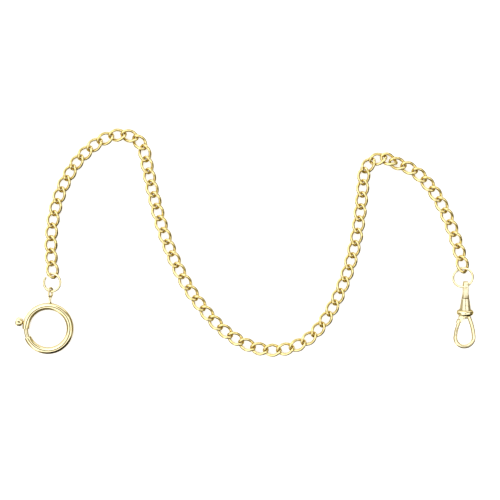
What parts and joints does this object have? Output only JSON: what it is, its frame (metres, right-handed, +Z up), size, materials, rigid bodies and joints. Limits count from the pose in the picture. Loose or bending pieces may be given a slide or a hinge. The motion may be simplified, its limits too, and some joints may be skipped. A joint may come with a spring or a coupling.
{
  "type": "pocket watch chain",
  "caption": "Polished gold curb chain for a pocket watch, laid out in a wave, with a sprung bolt ring at one end and a swivelling dog clip with a sprung gate at the other",
  "frame": {"origin": "under the middle of the laid chain's outline, on the surface that it lies on", "axes": "+X along the longest side from the bolt ring to the dog clip, +Y from the clasps towards the crests of the wave, +Z up from the surface"},
  "size_m": [0.1622, 0.0806, 0.0067],
  "materials": {
    "chain_gold": "polished gold",
    "clasp_gold": "polished gold",
    "steel": "bright spring wire"
  },
  "bodies": {
    "bolt_ring": {"bolt_ring_tube": "clasp_gold", "bolt_ring_eye": "clasp_gold", "bolt_spring_stop": "steel", "bolt_spring": "steel"},
    "bolt": {"bolt": "clasp_gold", "bolt_thumb_knob": "clasp_gold"},
    "open_jump_ring": {"open_jump_ring": "clasp_gold"},
    "links_01_02": {"links_01_02": "chain_gold"},
    "links_03_04": {"links_03_04": "chain_gold"},
    "links_05_06": {"links_05_06": "chain_gold"},
    "links_07_08": {"links_07_08": "chain_gold"},
    "links_09_10": {"links_09_10": "chain_gold"},
    "links_11_12": {"links_11_12": "chain_gold"},
    "links_13_14": {"links_13_14": "chain_gold"},
    "links_15_16": {"links_15_16": "chain_gold"},
    "links_17_18": {"links_17_18": "chain_gold"},
    "links_19_20": {"links_19_20": "chain_gold"},
    "links_21_22": {"links_21_22": "chain_gold"},
    "links_23_24": {"links_23_24": "chain_gold"},
    "links_25_26": {"links_25_26": "chain_gold"},
    "links_27_28": {"links_27_28": "chain_gold"},
    "links_29_30": {"links_29_30": "chain_gold"},
    "links_31_32": {"links_31_32": "chain_gold"},
    "links_33_34": {"links_33_34": "chain_gold"},
    "links_35_36": {"links_35_36": "chain_gold"},
    "links_37_38": {"links_37_38": "chain_gold"},
    "links_39_40": {"links_39_40": "chain_gold"},
    "links_41_42": {"links_41_42": "chain_gold"},
    "links_43_44": {"links_43_44": "chain_gold"},
    "links_45_46": {"links_45_46": "chain_gold"},
    "links_47_48": {"links_47_48": "chain_gold"},
    "links_49_50": {"links_49_50": "chain_gold"},
    "links_51_52": {"links_51_52": "chain_gold"},
    "links_53_54": {"links_53_54": "chain_gold"},
    "links_55_56": {"links_55_56": "chain_gold"},
    "links_57_58": {"links_57_58": "chain_gold"},
    "links_59_60": {"links_59_60": "chain_gold"},
    "links_61_62": {"links_61_62": "chain_gold"},
    "links_63_64": {"links_63_64": "chain_gold"},
    "links_65_66": {"links_65_66": "chain_gold"},
    "links_67_68": {"links_67_68": "chain_gold"},
    "round_jump_ring": {"round_jump_ring": "clasp_gold"},
    "swivel_eye": {"swivel_eye": "clasp_gold", "swivel_washer": "steel"},
    "dog_clip": {"swivel_barrel": "clasp_gold", "clip_collar": "clasp_gold", "hook_frame": "clasp_gold", "gate_pin": "steel", "gate_spring": "steel"},
    "gate": {"gate": "clasp_gold"}
  },
  "joints": [
    {"name": "bolt_slide", "type": "hinge", "parent": "bolt_ring", "child": "bolt", "pos_m": [-0.06961, -0.03026, 0.0012], "axis": [0, 0, -1], "range_deg": [0, 29], "stiffness_Nm_per_rad": 0.0005, "springref_deg": -17.19},
    {"name": "gate_open", "type": "hinge", "parent": "dog_clip", "child": "gate", "pos_m": [0.07583, -0.02627, 0.00267], "axis": [0, -0.1736, 0.9848], "range_deg": [0, 28], "stiffness_Nm_per_rad": 0.0002, "springref_deg": -17.19},
    {"name": "clip_swivel", "type": "hinge", "parent": "swivel_eye", "child": "dog_clip", "pos_m": [0.07717, -0.01948, 0.00386], "axis": [0, 0.9848, 0.1736], "continuous": true},
    {"name": "swivel_eye_swing", "type": "hinge", "parent": "round_jump_ring", "child": "swivel_eye", "pos_m": [0.07717, -0.01568, 0.00453], "axis": [1, 0, 0], "range_deg": [-40, 40]},
    {"name": "round_jump_ring_swing", "type": "hinge", "parent": "links_67_68", "child": "round_jump_ring", "pos_m": [0.0772, -0.00904, 0.00124], "axis": [-0.9374, 0.0881, -0.337], "range_deg": [-35, 5]},
    {"name": "open_jump_ring_swing", "type": "hinge", "parent": "bolt_ring", "child": "open_jump_ring", "pos_m": [-0.06896, -0.01707, 0.00126], "axis": [0.9266, -0.2547, 0.2765], "range_deg": [-35, 35]},
    {"name": "links_01_02_swing", "type": "hinge", "parent": "open_jump_ring", "child": "links_01_02", "pos_m": [-0.06741, -0.01107, 0.00132], "axis": [-0.9325, 0.2318, -0.2768], "range_deg": [-5, 35]},
    {"name": "links_03_04_swing", "type": "hinge", "parent": "links_01_02", "child": "links_03_04", "pos_m": [-0.06864, -0.00224, 0.0012], "axis": [-0.7059, -0.0407, -0.7071], "range_deg": [-40, 40]},
    {"name": "links_05_06_swing", "type": "hinge", "parent": "links_03_04", "child": "links_05_06", "pos_m": [-0.06824, 0.0054, 0.0012], "axis": [-0.6978, 0.1143, 0.7071], "range_deg": [-40, 40]},
    {"name": "links_07_08_swing", "type": "hinge", "parent": "links_05_06", "child": "links_07_08", "pos_m": [-0.06616, 0.01527, 0.0012], "axis": [0.6846, -0.177, 0.7071], "range_deg": [-35, 40]},
    {"name": "links_09_10_swing", "type": "hinge", "parent": "links_07_08", "child": "links_09_10", "pos_m": [-0.06331, 0.02221, 0.0012], "axis": [0.6118, -0.3546, -0.7071], "range_deg": [-40, 35]},
    {"name": "links_11_12_swing", "type": "hinge", "parent": "links_09_10", "child": "links_11_12", "pos_m": [-0.05768, 0.03057, 0.0012], "axis": [-0.5587, 0.4334, -0.7071], "range_deg": [-40, 35]},
    {"name": "links_13_14_swing", "type": "hinge", "parent": "links_11_12", "child": "links_13_14", "pos_m": [-0.05197, 0.03553, 0.0012], "axis": [-0.2921, 0.644, 0.7071], "range_deg": [-30, 40]},
    {"name": "links_15_16_swing", "type": "hinge", "parent": "links_13_14", "child": "links_15_16", "pos_m": [-0.04232, 0.0383, 0.0012], "axis": [0.0935, -0.7009, 0.7071], "range_deg": [-20, 40]},
    {"name": "links_17_18_swing", "type": "hinge", "parent": "links_15_16", "child": "links_17_18", "pos_m": [-0.03601, 0.03435, 0.0012], "axis": [-0.6955, -0.1276, -0.7071], "range_deg": [-40, 15]},
    {"name": "links_19_20_swing", "type": "hinge", "parent": "links_17_18", "child": "links_19_20", "pos_m": [-0.03414, 0.02457, 0.0012], "axis": [0.6936, 0.1373, -0.7071], "range_deg": [-35, 40]},
    {"name": "links_21_22_swing", "type": "hinge", "parent": "links_19_20", "child": "links_21_22", "pos_m": [-0.03263, 0.01769, 0.0012], "axis": [0.6873, 0.1663, 0.7071], "range_deg": [-40, 35]},
    {"name": "links_23_24_swing", "type": "hinge", "parent": "links_21_22", "child": "links_23_24", "pos_m": [-0.03022, 0.00803, 0.0012], "axis": [-0.6849, -0.1758, 0.7071], "range_deg": [-40, 40]},
    {"name": "links_25_26_swing", "type": "hinge", "parent": "links_23_24", "child": "links_25_26", "pos_m": [-0.02792, 0.00089, 0.0012], "axis": [-0.6588, -0.2569, -0.7071], "range_deg": [-40, 40]},
    {"name": "links_27_28_swing", "type": "hinge", "parent": "links_25_26", "child": "links_27_28", "pos_m": [-0.02407, -0.00844, 0.0012], "axis": [0.648, 0.2831, -0.7071], "range_deg": [-40, 40]},
    {"name": "links_29_30_swing", "type": "hinge", "parent": "links_27_28", "child": "links_29_30", "pos_m": [-0.0205, -0.01526, 0.0012], "axis": [0.5924, 0.3862, 0.7071], "range_deg": [-40, 40]},
    {"name": "links_31_32_swing", "type": "hinge", "parent": "links_29_30", "child": "links_31_32", "pos_m": [-0.01466, -0.02362, 0.0012], "axis": [-0.5669, -0.4226, 0.7071], "range_deg": [-40, 40]},
    {"name": "links_33_34_swing", "type": "hinge", "parent": "links_31_32", "child": "links_33_34", "pos_m": [-0.00942, -0.02947, 0.0012], "axis": [-0.4421, -0.5518, -0.7071], "range_deg": [-40, 40]},
    {"name": "links_35_36_swing", "type": "hinge", "parent": "links_33_34", "child": "links_35_36", "pos_m": [-0.00104, -0.03534, 0.0012], "axis": [0.3674, 0.6042, -0.7071], "range_deg": [-40, 40]},
    {"name": "links_37_38_swing", "type": "hinge", "parent": "links_35_36", "child": "links_37_38", "pos_m": [0.00659, -0.03787, 0.0012], "axis": [0.0086, 0.7071, 0.7071], "range_deg": [-40, 35]},
    {"name": "links_39_40_swing", "type": "hinge", "parent": "links_37_38", "child": "links_39_40", "pos_m": [0.0168, -0.03696, 0.0012], "axis": [0.1337, -0.6943, 0.7071], "range_deg": [-40, 35]},
    {"name": "links_41_42_swing", "type": "hinge", "parent": "links_39_40", "child": "links_41_42", "pos_m": [0.02377, -0.03282, 0.0012], "axis": [0.5456, -0.4498, -0.7071], "range_deg": [-35, 40]},
    {"name": "links_43_44_swing", "type": "hinge", "parent": "links_41_42", "child": "links_43_44", "pos_m": [0.02986, -0.0246, 0.0012], "axis": [-0.589, 0.3913, -0.7071], "range_deg": [-40, 40]},
    {"name": "links_45_46_swing", "type": "hinge", "parent": "links_43_44", "child": "links_45_46", "pos_m": [0.03326, -0.01763, 0.0012], "axis": [-0.6579, 0.2592, 0.7071], "range_deg": [-40, 40]},
    {"name": "links_47_48_swing", "type": "hinge", "parent": "links_45_46", "child": "links_47_48", "pos_m": [0.03672, -0.00809, 0.0012], "axis": [0.671, -0.2232, 0.7071], "range_deg": [-40, 40]},
    {"name": "links_49_50_swing", "type": "hinge", "parent": "links_47_48", "child": "links_49_50", "pos_m": [0.0386, -0.00083, 0.0012], "axis": [0.695, -0.1301, -0.7071], "range_deg": [-40, 40]},
    {"name": "links_51_52_swing", "type": "hinge", "parent": "links_49_50", "child": "links_51_52", "pos_m": [0.04023, 0.00914, 0.0012], "axis": [-0.7002, 0.0984, -0.7071], "range_deg": [-40, 40]},
    {"name": "links_53_54_swing", "type": "hinge", "parent": "links_51_52", "child": "links_53_54", "pos_m": [0.04107, 0.01629, 0.0012], "axis": [-0.7041, 0.0653, 0.7071], "range_deg": [-40, 40]},
    {"name": "links_55_56_swing", "type": "hinge", "parent": "links_53_54", "child": "links_55_56", "pos_m": [0.04141, 0.0251, 0.00125], "axis": [0.6175, -0.4901, -0.6153], "range_deg": [-15, 0]},
    {"name": "links_57_58_swing", "type": "hinge", "parent": "links_55_56", "child": "links_57_58", "pos_m": [0.04796, 0.03044, 0.00155], "axis": [-0.383, -0.8214, -0.4226], "range_deg": [-25, 0]},
    {"name": "links_59_60_swing", "type": "hinge", "parent": "links_57_58", "child": "links_59_60", "pos_m": [0.05635, 0.027, 0.0012], "axis": [0.2197, 0.6721, -0.7071], "range_deg": [-40, 35]},
    {"name": "links_61_62_swing", "type": "hinge", "parent": "links_59_60", "child": "links_61_62", "pos_m": [0.06252, 0.02283, 0.0012], "axis": [0.5401, 0.4564, 0.7071], "range_deg": [-35, 40]},
    {"name": "links_63_64_swing", "type": "hinge", "parent": "links_61_62", "child": "links_63_64", "pos_m": [0.06856, 0.01476, 0.0012], "axis": [-0.5903, -0.3892, 0.7071], "range_deg": [-35, 40]},
    {"name": "links_65_66_swing", "type": "hinge", "parent": "links_63_64", "child": "links_65_66", "pos_m": [0.07173, 0.00784, 0.0012], "axis": [-0.6645, -0.2418, -0.7071], "range_deg": [-40, 40]},
    {"name": "links_67_68_swing", "type": "hinge", "parent": "links_65_66", "child": "links_67_68", "pos_m": [0.075, -0.00176, 0.0012], "axis": [0.674, 0.2138, -0.7071], "range_deg": [-40, 40]}
  ]
}
